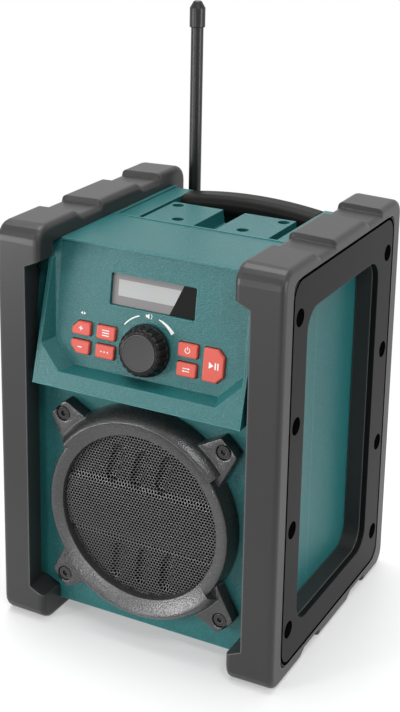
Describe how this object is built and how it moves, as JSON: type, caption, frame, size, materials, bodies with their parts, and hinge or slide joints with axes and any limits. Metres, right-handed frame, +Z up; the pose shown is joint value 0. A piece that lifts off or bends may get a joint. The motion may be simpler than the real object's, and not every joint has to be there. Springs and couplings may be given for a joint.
{
  "type": "jobsite radio",
  "caption": "Rugged portable radio with two roll-cage side frames, leaning control console with display, keys and volume knob, ringed speaker, carry handle, battery bay and folding antenna.",
  "frame": {"origin": "centre of the footprint on the ground, under the two side cages", "axes": "+Z up, -Y towards the front with the speaker, +X to the right seen from the front"},
  "size_m": [0.204, 0.196, 0.405],
  "materials": {
    "cage_plastic": "fine moulded grain",
    "screw_steel": "zinc-plated",
    "housing_plastic": "fine moulded grain",
    "display_glass": "polished window",
    "display_module": "liquid crystal panel",
    "key_rubber": "satin silicone",
    "black_rubber": "satin",
    "circuit_board": "solder mask",
    "knob_plastic": "fine grain",
    "ring_plastic": "coarse grain",
    "grille_metal": "satin powder coat",
    "basket_steel": "pressed steel",
    "cone_paper": "coated paper",
    "magnet": "ferrite",
    "grip_rubber": "soft touch",
    "black_plastic": "fine grain",
    "cell_jacket": "printed foil jacket",
    "antenna_rubber": "satin"
  },
  "bodies": {
    "radio": {"left_cage": "cage_plastic", "right_cage": "cage_plastic", "left_side_plate": "cage_plastic", "right_side_plate": "cage_plastic", "left_plate_screws": "screw_steel", "right_plate_screws": "screw_steel", "front_housing": "housing_plastic", "rear_housing": "housing_plastic", "top_deck": "housing_plastic", "deck_screws": "screw_steel", "housing_screws": "screw_steel", "console": "housing_plastic", "display_lens": "display_glass", "display_module": "display_module", "key_membrane": "black_rubber", "key_board": "circuit_board", "encoder_body": "screw_steel", "speaker_ring": "ring_plastic", "ring_screws": "screw_steel", "speaker_grille": "grille_metal", "speaker_basket": "basket_steel", "speaker_cone": "cone_paper", "speaker_magnet": "magnet", "handle_grip": "grip_rubber", "handle_rod": "screw_steel", "main_board": "circuit_board", "tuner_shield": "screw_steel", "dc_socket": "black_plastic", "aux_socket": "black_plastic", "battery_cells": "cell_jacket", "battery_contacts": "screw_steel", "antenna_base": "black_plastic", "door_pins": "screw_steel"},
    "volume": {"volume_knob": "knob_plastic", "encoder_shaft": "screw_steel"},
    "plus": {"plus_key": "key_rubber"},
    "minus": {"minus_key": "key_rubber"},
    "info": {"info_key": "key_rubber"},
    "preset": {"preset_key": "key_rubber"},
    "power": {"power_key": "key_rubber"},
    "source": {"source_key": "key_rubber"},
    "enter": {"enter_key": "key_rubber"},
    "door": {"battery_door": "housing_plastic"},
    "flap": {"socket_flap": "black_rubber"},
    "antenna_swivel": {"antenna_knuckle": "black_plastic", "antenna_pin": "screw_steel"},
    "antenna": {"antenna_rod": "antenna_rubber", "antenna_tip": "antenna_rubber"}
  },
  "joints": [
    {"name": "volume_turn", "type": "hinge", "parent": "radio", "child": "volume", "pos_m": [0, -0.0794, 0.2076], "axis": [0, -0.9905, 0.1374], "range_deg": [-150, 150]},
    {"name": "plus_press", "type": "slide", "parent": "radio", "child": "plus", "axis": [0, 0.9905, -0.1374], "range_m": [0, 0.001], "stiffness_N_per_m": 1500, "springref_m": -0.0004},
    {"name": "minus_press", "type": "slide", "parent": "radio", "child": "minus", "axis": [0, 0.9905, -0.1374], "range_m": [0, 0.001], "stiffness_N_per_m": 1500, "springref_m": -0.0004},
    {"name": "info_press", "type": "slide", "parent": "radio", "child": "info", "axis": [0, 0.9905, -0.1374], "range_m": [0, 0.001], "stiffness_N_per_m": 1500, "springref_m": -0.0004},
    {"name": "preset_press", "type": "slide", "parent": "radio", "child": "preset", "axis": [0, 0.9905, -0.1374], "range_m": [0, 0.001], "stiffness_N_per_m": 1500, "springref_m": -0.0004},
    {"name": "power_press", "type": "slide", "parent": "radio", "child": "power", "axis": [0, 0.9905, -0.1374], "range_m": [0, 0.001], "stiffness_N_per_m": 1500, "springref_m": -0.0004},
    {"name": "source_press", "type": "slide", "parent": "radio", "child": "source", "axis": [0, 0.9905, -0.1374], "range_m": [0, 0.001], "stiffness_N_per_m": 1500, "springref_m": -0.0004},
    {"name": "enter_press", "type": "slide", "parent": "radio", "child": "enter", "axis": [0, 0.9905, -0.1374], "range_m": [0, 0.001], "stiffness_N_per_m": 1500, "springref_m": -0.0004},
    {"name": "door_hinge", "type": "hinge", "parent": "radio", "child": "door", "pos_m": [0, 0.0812, 0.0181], "axis": [-1, 0, 0], "range_deg": [0, 95]},
    {"name": "flap_hinge", "type": "hinge", "parent": "radio", "child": "flap", "pos_m": [0.038, 0.078, 0.1601], "axis": [1, 0, 0], "range_deg": [0, 105]},
    {"name": "antenna_turn", "type": "hinge", "parent": "radio", "child": "antenna_swivel", "pos_m": [-0.0575, 0.091, 0.236], "axis": [0, 0, 1], "range_deg": [-80, 35]},
    {"name": "antenna_fold", "type": "hinge", "parent": "antenna_swivel", "child": "antenna", "pos_m": [-0.0575, 0.091, 0.245], "axis": [-1, 0, 0], "range_deg": [0, 90]}
  ]
}
